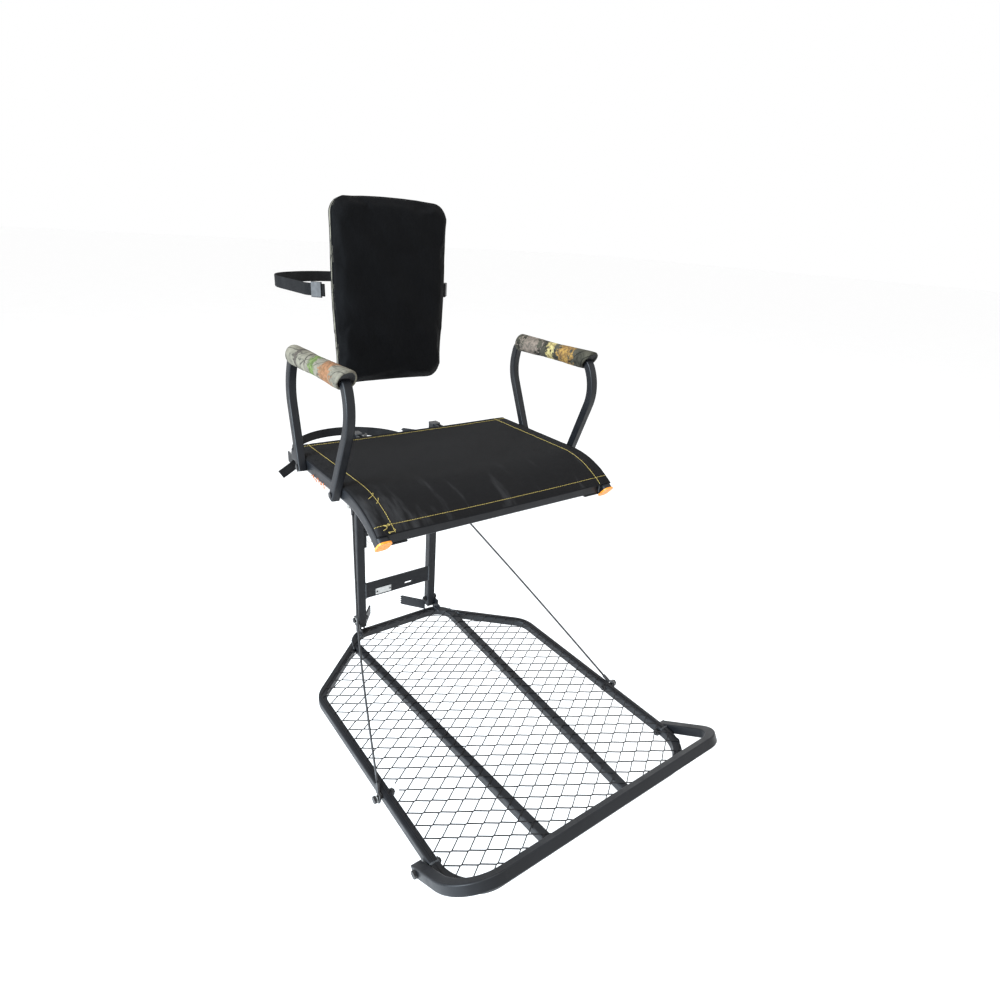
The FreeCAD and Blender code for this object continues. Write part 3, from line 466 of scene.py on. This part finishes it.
# ---------------------------------------------------------------- camera and light
def make_camera():
    azimuth, height, roll = (math.radians(a) for a in (-36.9874, 26.2688, 3.7797))
    back = Vector((math.sin(azimuth) * math.cos(height),
                   -math.cos(azimuth) * math.cos(height), math.sin(height)))
    right = (-back).cross(Vector((0, 0, 1))).normalized()
    up = right.cross(-back)
    across = right * math.cos(roll) + up * math.sin(roll)
    above = -right * math.sin(roll) + up * math.cos(roll)
    data = bpy.data.cameras.new("camera")
    data.sensor_width, data.lens = 36.0, 22.144
    data.shift_x, data.shift_y = 0.02403, 0.03582
    data.clip_start, data.clip_end = 0.01, 200.0
    obj = bpy.data.objects.new("camera", data)
    turn = Matrix((across, above, back)).transposed()
    obj.matrix_world = Matrix.Translation((-0.6952, -1.32795, 0.9829)) @ turn.to_4x4()
    bpy.context.scene.collection.objects.link(obj)
    bpy.context.scene.camera = obj


def area_light(name, spot, power, size, target=(0, -0.4, 0.4), tint=(1, 1, 1)):
    data = bpy.data.lights.new(name, "AREA")
    data.shape, data.size, data.energy, data.color = "DISK", size, power, tint
    obj = bpy.data.objects.new(name, data)
    aim(obj, spot, target)
    bpy.context.scene.collection.objects.link(obj)


def make_stage():
    world = bpy.data.worlds.new("studio")
    world.use_nodes = True
    shade = world.node_tree.nodes["Background"]
    shade.inputs["Color"].default_value = (1.0, 1.0, 1.0, 1.0)
    shade.inputs["Strength"].default_value = 1.0
    bpy.context.scene.world = world
    area_light("key", (-3.4, -0.7, 1.6), 300.0, 1.8, tint=(0.78, 0.90, 1.0))
    area_light("top", (-0.4, -0.2, 4.2), 60.0, 2.6)
    area_light("fill", (2.6, -2.0, 1.8), 8.0, 2.6)
    size, low = 60.0, -0.75
    floor = make_mesh("floor", [(-size, -size, low), (size, -size, low), (size, size, low),
                                (-size, size, low)], [(0, 1, 2, 3)], M["floor"], smooth=False)
    bpy.context.scene.view_settings.view_transform = "Standard"


# ---------------------------------------------------------------- cables
TOP, LOW = Vector((0.1232, -0.065, 0.375)), Vector((0.3189, -0.575, 0.003))
BOW = Vector((0.0075, 0.006, -0.0042))       # the stiff cable's own set, off the straight
CRIMP_REACH, CABLE_RADIUS = 0.027, 0.0024


def make_cables():
    along = (LOW - TOP).normalized()
    start, end = TOP + along * CRIMP_REACH, LOW - along * CRIMP_REACH
    for side, sign in (("left", 1), ("right", -1)):
        route = bpy.data.curves.new(side + "_route", "CURVE")
        route.dimensions = "3D"
        spline = route.splines.new("NURBS")
        spline.points.add(4)
        for k, point in enumerate(spline.points):
            p = start.lerp(end, k / 4) + BOW * (0, 0.7, 1.25, 0.9, 0)[k]
            point.co = (sign * p.x, p.y, p.z, 1.0)
        spline.order_u = 3
        spline.use_endpoint_u = True
        spline.resolution_u = 12
        holder = bpy.data.objects.new(side + "_route", route)
        bpy.context.scene.collection.objects.link(holder)
        drawn = bpy.data.meshes.new_from_object(holder)
        path = [v.co.copy() for v in drawn.vertices]
        bpy.data.objects.remove(holder)
        verts, faces = loft(tube_rings(path, CABLE_RADIUS, 14))
        cable = make_mesh(side + "_cable_run", verts, faces, M["cable_jacket"])
        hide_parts(side + "_cable")
        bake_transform(cable)


# ---------------------------------------------------------------- straps
BUCKLE_TURN = math.radians(184.13)
WEB_WIDE, WEB_THICK = 0.025, 0.002


def at_buckle(x, y, z=0.0):
    turn = Matrix.Rotation(BUCKLE_TURN, 3, "Z")
    return Vector((-0.16885, 0.155, 0.43)) + turn @ Vector((x, y, z))


def loop(side, bends, back_y, bend, height):
    corners = side + [(0.0, back_y)] + [(-x, y) for x, y in reversed(side)]
    radii = [0] + bends + [bend] + bends[::-1] + [0]
    return strap_line([(x, y, height) for x, y in corners], radii)


def make_straps():
    line = loop([(0.113, -0.0372), (0.1227, -0.0372), (0.1898, 0.2351)],
                [0.002, 0.16], 0.3673, 0.16, 0.43)
    ribbon("tree_webbing", line, WEB_WIDE, WEB_THICK, M["webbing"], "post", "tree_strap")
    line = loop([(0.1476, -0.019), (0.176, 0.014), (0.186, 0.2457)], [0.02, 0.162],
                0.3656, 0.162, 0.854)
    ribbon("backrest_webbing", line, WEB_WIDE, WEB_THICK, M["webbing"], "backrest", "backrest_strap")
    tail = strap_line([(0, 0, 0), (0.02, 0.001, 0), (0.054, -0.006, 0)], [0, 0.06, 0], 0.003)
    place = (Matrix.Translation(at_buckle(0.009, 0.019)) @ Matrix.Rotation(BUCKLE_TURN, 4, "Z")
             @ Matrix.Rotation(math.radians(32.0), 4, "Y"))
    ribbon("webbing_tail", tail, WEB_WIDE, 0.0017, M["webbing"], "post", "strap_tail",
           wave=0.002, place=place)


# ---------------------------------------------------------------- seat
RAIL_Y, ARC_Z, ARC_R = -0.378, 0.355, 0.2061
SEAT_REAR, SEAT_TURN = -0.122, math.radians(37.6)
SEAT_FLAT = SEAT_REAR - RAIL_Y
SEAT_LONG = SEAT_FLAT + ARC_R * SEAT_TURN
HALF_WIDE = 0.2797


def seat_line(v):
    """A point of the seat's side line and its outward direction, by length from the rear."""
    if v < SEAT_FLAT:
        return SEAT_REAR - v, ARC_Z + ARC_R, 0.0, 1.0
    a = (v - SEAT_FLAT) / ARC_R
    return RAIL_Y - ARC_R * math.sin(a), ARC_Z + ARC_R * math.cos(a), -math.sin(a), math.cos(a)


def seat_spot(u, v, lift=0.0):
    """A point on the cloth: u across, v from the rear along it, lifted off it."""
    y, z, ny, nz = seat_line(v)
    side = math.copysign(1.0, u)
    s = abs(u)
    x, drop = s, 0.0
    if s > 0.2705:
        a = (s - 0.2705) / 0.0092
        x, drop = 0.2705 + 0.0092 * math.sin(a), 0.0092 * (1 - math.cos(a))
    sag = 0.0042 * max(0.0, 1 - (s / 0.25) ** 2) * min(1.0, 0.35 + v / 0.12)
    ripple = 0.0007 * noise.noise(Vector((u * 9, v * 14, 3.1)))
    hem = 0.0
    for edge in (s - 0.2445, 0.0105 - v, v - (SEAT_LONG - 0.0185)):
        hem = max(hem, 0.0008 * min(1.0, max(0.0, edge / 0.003 + 0.5)))
        hem -= 0.0005 * math.exp(-(edge / 0.0016) ** 2)
    if s > 0.236:
        hem += 0.0004 * noise.noise(Vector((u * 30, v * 90, 0.3)))
    off = hem + ripple - sag - drop + lift
    return Vector((side * x, y + ny * off, z + nz * off))


def make_seat_cloth():
    across = sorted({round(x, 5) for x in np.linspace(-HALF_WIDE, HALF_WIDE, 190)}
                    | {s * (0.2445 + k * 0.0008) for s in (-1, 1) for k in range(-4, 5)})
    along = sorted({round(v, 5) for v in np.linspace(0, SEAT_LONG, 130)}
                   | {0.0105 + k * 0.0008 for k in range(-4, 5)}
                   | {SEAT_LONG - 0.0185 + k * 0.0008 for k in range(-4, 5)})
    wide, deep = len(across), len(along)
    verts = [seat_spot(u, v, 0.0006) for v in along for u in across]
    verts += [seat_spot(u, v, -0.0009) for v in along for u in across]
    layer = wide * deep
    faces = []
    for j in range(deep - 1):
        for i in range(wide - 1):
            a = j * wide + i
            faces.append((a, a + wide, a + wide + 1, a + 1))
            faces.append((layer + a, layer + a + 1, layer + a + wide + 1, layer + a + wide))
    rim = ([i for i in range(wide)] + [j * wide + wide - 1 for j in range(1, deep)]
           + [(deep - 1) * wide + i for i in range(wide - 2, -1, -1)]
           + [j * wide for j in range(deep - 2, 0, -1)])
    for k, a in enumerate(rim):
        b = rim[(k + 1) % len(rim)]
        faces.append((a, b, layer + b, layer + a))
    cloth = make_mesh("seat_cloth", verts, faces, M["seat_textile"])
    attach(cloth, "seat")
    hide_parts("seat_fabric")
    lines = []
    for u in (-0.2792, 0.2792):
        lines.append([seat_spot(u, v, 0.0) for v in np.linspace(0.0, SEAT_LONG, 90)])
    for v in (0.001, SEAT_LONG - 0.0008):
        lines.append([seat_spot(u, v, 0.0) for u in np.linspace(-0.279, 0.279, 120)])
    chunks = [loft(tube_rings(line, 0.0014, 8, 0.12)) for line in lines]
    verts, faces = join_parts(chunks)
    hem = make_mesh("seat_hems", verts, faces, M["hem"])
    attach(hem, "seat")


def stitches(name, runs, body, pitch=0.0052, size=0.00042):
    """Thread along runs of points: each stitch rises out of the cloth and dips back."""
    chunks = []
    for spots in runs:
        total = sum((b - a).length for a, b in zip(spots, spots[1:]))
        count = int(total / pitch)
        ends = np.cumsum([0.0] + [(b - a).length for a, b in zip(spots, spots[1:])])

        def point(s):
            k = min(len(spots) - 2, max(0, int(np.searchsorted(ends, s) - 1)))
            t = (s - ends[k]) / max(1e-9, ends[k + 1] - ends[k])
            return spots[k].lerp(spots[k + 1], float(t))
        for n in range(count):
            start = n * pitch + random.uniform(0, 0.0004)
            length = pitch * random.uniform(0.74, 0.84)
            line = [point(start + length * t) for t in (0.0, 0.15, 0.5, 0.85, 1.0)]
            lift = (-0.0005, 0.0002, 0.0005, 0.0002, -0.0005)
            line = [p + Vector((0, -0.25, 1)) * h for p, h in zip(line, lift)]
            chunks.append(loft(tube_rings(line, size, 6)))
    verts, faces = join_parts(chunks)
    obj = make_mesh(name, verts, faces, M["thread"])
    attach(obj, body)
    return obj


def make_seat_stitching():
    runs = []
    for u in (-0.2445, 0.2445):
        runs.append([seat_spot(u, v, 0.0009) for v in np.linspace(0.001, SEAT_LONG - 0.001, 120)])
    for v in (0.0105, SEAT_LONG - 0.0185):
        runs.append([seat_spot(u, v, 0.0009) for u in np.linspace(-0.277, 0.277, 160)])
    stitches("seat_stitching", runs, "seat")
    loose = []
    for x, v, turns in ((-0.252, SEAT_LONG - 0.02, 1.6), (-0.246, SEAT_LONG - 0.008, 1.1),
                        (-0.243, 0.293, 0.6), (-0.24, 0.31, 0.4)):
        base = seat_spot(x, v, 0.001)
        pts = []
        for i in range(26):
            t = i / 25
            a = turns * 2 * math.pi * t
            pts.append(base + Vector((-0.012 * t + 0.004 * math.sin(a), -0.007 * t - 0.004
                                      + 0.004 * math.cos(a), 0.0035 * math.sin(3 * t) - 0.003 * t)))
        loose.append(loft(tube_rings(pts, 0.0004, 6)))
    verts, faces = join_parts(loose)
    obj = make_mesh("loose_thread", verts, faces, M["thread"])
    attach(obj, "seat")
    snag = [Vector((-0.2797 - 0.001 * math.cos(t * 1.7), -0.226 - 0.0034 * t,
                    0.5335 + 0.0035 * math.sin(2.3 * t) - 0.002 * math.cos(t)))
            for t in np.linspace(0, 20, 150)]
    verts, faces = loft(tube_rings(snag, 0.0006, 6))
    obj = make_mesh("snagged_thread", verts, faces, M["red_thread"])
    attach(obj, "seat")


# ---------------------------------------------------------------- arm pads
PAD_Z = 0.7546


def make_arm_pad(side, sign):
    centre_x = 0.28895 - 0.225 * math.sin(math.radians(3.45))
    low, high = -0.397, -0.165
    rows, sides = 84, 56
    rings = []
    for i in range(rows + 1):
        t = i / rows
        y = low + (high - low) * t
        ring = []
        for k in range(sides):
            a = 2 * math.pi * k / sides
            soft = noise.noise(Vector((y * 22, math.cos(a) * 0.9 + sign * 3, math.sin(a) * 0.9)))
            ridge = noise.noise(Vector((y * 75 + math.cos(a) * 1.4, math.sin(a) * 1.2, sign * 7)))
            r = 0.0190 * (1 + 0.045 * soft + 0.018 * ridge)
            r *= 1 - 0.08 * math.exp(-((t - 0.5) / 0.25) ** 2)
            seam = abs(math.atan2(math.sin(a + math.pi / 2 - 0.35 * sign),
                                  math.cos(a + math.pi / 2 - 0.35 * sign)))
            r -= 0.0011 * math.exp(-(seam / 0.09) ** 2)
            end = min(t, 1 - t) * (high - low)
            if end < 0.004:
                r -= 0.0024 * (1 - math.sqrt(max(0.0, 1 - (1 - end / 0.004) ** 2)))
            slant = 0.012 * max(0.0, 1 - (y - low) / 0.05)
            ring.append(Vector((sign * centre_x + r * math.cos(a), y - slant * math.sin(a),
                                PAD_Z + r * math.sin(a))))
        rings.append(ring)

    def inward(ring, shrink, shift):
        middle = Vector((sign * centre_x, 0, PAD_Z))
        return [Vector((middle.x + (p.x - middle.x) * shrink, p.y + shift,
                        middle.z + (p.z - middle.z) * shrink)) for p in ring]
    front = [inward(rings[0], s, d) for s, d in ((0.62, 0.007), (0.84, 0.0045), (0.9, 0.001))]
    rear = [inward(rings[-1], s, d) for s, d in ((0.9, -0.001), (0.84, -0.0045), (0.62, -0.007))]
    verts, faces = loft([front[2]] + rings + [rear[0]], caps=False)
    slot = "left_arm_pad" if sign > 0 else "right_arm_pad"
    cover = "dark_pad_cover" if sign > 0 else "light_pad_cover"
    pad = make_mesh(side + "_pad_cover", verts, faces, M[cover])
    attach(pad, "seat")
    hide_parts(slot)
    chunks = [loft(front, caps=False), loft(rear, caps=False)]
    for ring in (front[0], rear[-1]):
        chunks.append((ring, [tuple(range(len(ring)))]))
    verts, faces = join_parts(chunks)
    foam = make_mesh(side + "_pad_foam", verts, faces, M["foam"])
    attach(foam, "seat")


# ---------------------------------------------------------------- backrest
BACK_LOW, BACK_HIGH, BACK_HALF = 0.654, 1.038, 0.146
BACK_MID, BACK_RISE = (BACK_LOW + BACK_HIGH) / 2, (BACK_HIGH - BACK_LOW) / 2
PIPING_FRONT, PIPING_REAR = -0.036, -0.0165      # how far forward each seam runs
GUSSET_REAR = -0.018


def back_outline(count=160, shrink=0.0):
    """The pad's seam line, seen from the front: wider at the middle, rounded corners."""
    half, low, high = BACK_HALF - shrink, BACK_LOW + shrink, BACK_HIGH - shrink
    mid = (low + high) / 2
    corners = [(-half + 0.01, low), (half - 0.01, low), (half, mid), (half - 0.003, high),
               (-half + 0.003, high), (-half, mid)]
    radii = [0.033, 0.033, 1.2, 0.033, 0.033, 1.2]
    pts = [Vector((x, 0, z)) for x, z in corners]
    line = []
    for i, p in enumerate(pts):
        back = (pts[i - 1] - p).normalized()
        ahead = (pts[(i + 1) % 6] - p).normalized()
        angle = back.angle(ahead) / 2
        reach, centre = radii[i] / math.tan(angle), p + (back + ahead).normalized() * (
            radii[i] / math.sin(angle))
        first, last = p + back * reach - centre, p + ahead * reach - centre
        line += arc_between(centre, first, last, 8)
    closed = line + [line[0]]
    ends = np.cumsum([0.0] + [(b - a).length for a, b in zip(closed, closed[1:])])
    out = []
    for s in np.linspace(0, ends[-1], count, endpoint=False):
        k = int(np.searchsorted(ends, s, side="right") - 1)
        t = (s - ends[k]) / max(1e-9, ends[k + 1] - ends[k])
        p = closed[k].lerp(closed[k + 1], float(t))
        crown = max(0.0, 1 - (p.x / 0.12) ** 2) * max(0.0, (p.z - mid) / (high - mid))
        out.append(p + Vector((0, 0, 0.006 * crown)))
    return out


def make_backrest():
    outline = back_outline(160, 0.002)
    middle = Vector((0, 0, BACK_MID))
    rings = []
    front_y, rear_y = -0.045, -0.019
    for shrink, y in ((0.0, front_y - 0.002), (0.35, front_y - 0.001), (0.7, front_y),
                      (0.92, front_y + 0.001), (1.0, front_y + 0.005), (1.0, rear_y - 0.004),
                      (0.92, rear_y), (0.6, rear_y), (0.0, rear_y)):
        rings.append([Vector((p.x * max(shrink, 0.02), y,
                              middle.z + (p.z - middle.z) * max(shrink, 0.02))) for p in outline])
    verts, faces = loft(rings)
    pad = make_mesh("backrest_cushion", verts, faces, M["backrest_cover"])
    bpy.context.view_layer.objects.active = pad
    remesh = pad.modifiers.new("remesh", "REMESH")
    remesh.mode, remesh.voxel_size = "VOXEL", 0.005
    apply_modifiers(pad)
    swell(pad, 0.0075)
    depth = pad.modifiers.new("smooth", "SUBSURF")
    depth.levels = depth.render_levels = 1
    apply_modifiers(pad)
    crease(pad)
    for p in pad.data.polygons:
        p.use_smooth = True
    paint_gusset(pad)
    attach(pad, "backrest")
    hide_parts("backrest_pad")
    tree = BVHTree.FromObject(pad, bpy.context.evaluated_depsgraph_get())
    chunks = []
    for y in (PIPING_FRONT, PIPING_REAR):
        line = []
        for p in back_outline(260, 0.0035):
            spot, normal, _, _ = tree.find_nearest(Vector((p.x, y, p.z)))
            line.append(spot + normal * 0.0002)
        chunks.append(loft(tube_rings(line, 0.0015, 8, 0.1, closed=True), caps=False))
    verts, faces = join_parts(chunks)
    piping = make_mesh("backrest_piping", verts, faces, M["hem"])
    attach(piping, "backrest")


def apply_modifiers(obj):
    graph = bpy.context.evaluated_depsgraph_get()
    data = bpy.data.meshes.new_from_object(obj.evaluated_get(graph))
    obj.modifiers.clear()
    old = obj.data
    obj.data = data
    bpy.data.meshes.remove(old)


def swell(obj, cap):
    """Blow the cover up a little with cloth simulation, then keep the result."""
    rest = np.array([v.co for v in obj.data.vertices])
    cloth = obj.modifiers.new("cloth", "CLOTH")
    settings = cloth.settings
    settings.quality = 5
    settings.mass = 0.3
    settings.use_pressure = True
    settings.uniform_pressure_force = 4.0
    settings.effector_weights.gravity = 0.0
    cloth.point_cache.frame_start, cloth.point_cache.frame_end = 1, 20
    for step in range(1, 21):
        bpy.context.scene.frame_set(step)
    graph = bpy.context.evaluated_depsgraph_get()
    data = bpy.data.meshes.new_from_object(obj.evaluated_get(graph))
    moved = np.array([v.co for v in data.vertices])
    obj.modifiers.clear()
    bpy.context.scene.frame_set(1)
    shift = moved - rest
    far = np.linalg.norm(shift, axis=1, keepdims=True)
    shift *= np.minimum(1.0, cap / np.maximum(far, 1e-9))
    for v, c in zip(obj.data.vertices, rest + shift):
        v.co = c
    bpy.data.meshes.remove(data)


def crease(obj):
    """Soft diagonal drag lines in the cover's front."""
    for v in obj.data.vertices:
        x, y, z = v.co
        front = max(0.0, min(1.0, (-0.03 - y) / 0.012))
        a = (x * 0.8 + z * 0.6) * 24
        fold = noise.noise(Vector((a, (z * 0.8 - x * 0.6) * 6.5, 2.2)))
        fine = noise.noise(Vector((a * 2.3, (z - x) * 11, 8.8)))
        edge = max(0.0, abs(x) / BACK_HALF - 0.55)
        edge += max(0.0, abs(z - BACK_MID) / BACK_RISE - 0.6)
        v.co.y -= front * (0.0028 * fold + 0.0011 * fine) * (0.8 + 1.6 * edge)


def paint_gusset(obj):
    """The narrow side band between the two seams is the printed cloth."""
    obj.data.materials.append(M["gusset"])
    for p in obj.data.polygons:
        if PIPING_FRONT < p.center.y < GUSSET_REAR and abs(p.normal.y) < 0.5:
            p.material_index = 1


# ---------------------------------------------------------------- small metal detail
def bead(a, b, radius=0.0022, step=0.002):
    count = max(3, int((Vector(b) - Vector(a)).length / step))
    return [Vector(a).lerp(Vector(b), k / count) for k in range(count + 1)]


def both(points):
    return [points, [Vector((-p.x, p.y, p.z)) for p in points]]


def weld_set(name, body, lines, radius=0.0022):
    chunks = [loft(tube_rings(line, radius, 8, 0.35)) for line in lines]
    verts, faces = join_parts(chunks)
    obj = make_mesh(name, verts, faces, M["weld"])
    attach(obj, body)


def make_welds():
    platform = []
    platform += both(bead((0.0945, -0.8213, 0.0092), (0.1135, -0.8213, 0.0092)))
    platform += both(bead((0.1135, -0.8213, 0.0092), (0.1135, -0.8213, -0.0092)))
    platform += both(bead((0.0945, -0.8213, 0.0092), (0.0945, -0.8213, -0.0092)))
    platform += both(bead((0.1505, -0.0985, 0.0088), (0.1625, -0.134, 0.0088)))
    platform += both(bead((0.1215, -0.0955, 0.0098), (0.1215, -0.0665, 0.0098)))
    platform += both(bead((0.1175, -0.0955, 0.0098), (0.1175, -0.0665, 0.0098)))
    platform += both(bead((0.2936, -0.7504, 0.0092), (0.3122, -0.7504, 0.0092), 0.0012))
    weld_set("platform_welds", "platform", platform)
    post = []
    for z in (0.106, 0.15):
        post += both(bead((0.0952, -0.0722, z), (0.0952, -0.068, z)))
    post += both(bead((0.0952, -0.0722, 0.107), (0.0952, -0.0722, 0.149)))
    for z in (0.003, 0.031, 0.5, 0.528):
        post += both(bead((0.0948, -0.0585, z), (0.0948, -0.0515, z)))
    for z in (0.523, 0.551):
        post += both(bead((0.0985, -0.0735, z), (0.1135, -0.0735, z)))
    weld_set("post_welds", "post", post)
    seat = []
    for y in (-0.1458, -0.1242):
        seat += both(bead((0.2548, y, 0.536), (0.2548, y, 0.554)))
    for y in (-0.4938, -0.4742):
        seat += both(bead((0.2548, y, 0.497), (0.2548, y, 0.513)))
    weld_set("seat_welds", "seat", seat)


def washer(centre, axis, outer, inner, thick, sides=28):
    """A flat ring with softened edges about an axis."""
    axis = Vector(axis).normalized()
    one = axis.orthogonal().normalized()
    two = axis.cross(one)
    soft = thick * 0.25
    profile = [(inner, 0), (outer - soft, 0), (outer, soft), (outer, thick - soft),
               (outer - soft, thick), (inner, thick)]
    rings = [[Vector(centre) + axis * h + (one * math.cos(a) + two * math.sin(a)) * r
              for a in (2 * math.pi * k / sides for k in range(sides))] for r, h in profile]
    rings.append(rings[0])
    return loft(rings, caps=False)


def make_washers():
    sets = {
        "post": [((0.1282, -0.065, 0.375), 0.0078), ((0.1216, -0.06, 0.04), 0.0085)],
        "platform": [((0.3236, -0.575, 0.003), 0.0078)],
    }
    for body, spots in sets.items():
        chunks = []
        for (x, y, z), outer in spots:
            for sign in (1, -1):
                chunks.append(washer((sign * x, y, z), (sign, 0, 0), outer, 0.0041, 0.0011))
        verts, faces = join_parts(chunks)
        obj = make_mesh(body + "_washers", verts, faces, M["zinc_hardware"])
        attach(obj, body)


def make_rivets():
    chunks = [washer((x, -0.0736, 0.1185), (0, -1, 0), 0.0024, 0.0001, 0.0008, 16)
              for x in (-0.0635, -0.0255)]
    verts, faces = join_parts(chunks)
    obj = make_mesh("plate_rivets", verts, faces, M["black_hardware"])
    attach(obj, "post")


def dress_frame():
    """Each shown CAD node takes the detailed material of its slot."""
    slots = {s["node"]: s["material_slot"] for s in frame["record"]["subparts"]}
    for name, obj in frame["nodes"].items():
        key = "mesh" if name == "platform_mesh" else slots[name]
        for holder in obj.material_slots:
            holder.material = M[key]


make_camera()
make_cables()
make_stage()
dress_frame()
make_straps()
make_seat_cloth()
make_seat_stitching()
make_arm_pad("left", 1)
make_arm_pad("right", -1)
make_backrest()
make_welds()
make_washers()
make_rivets()
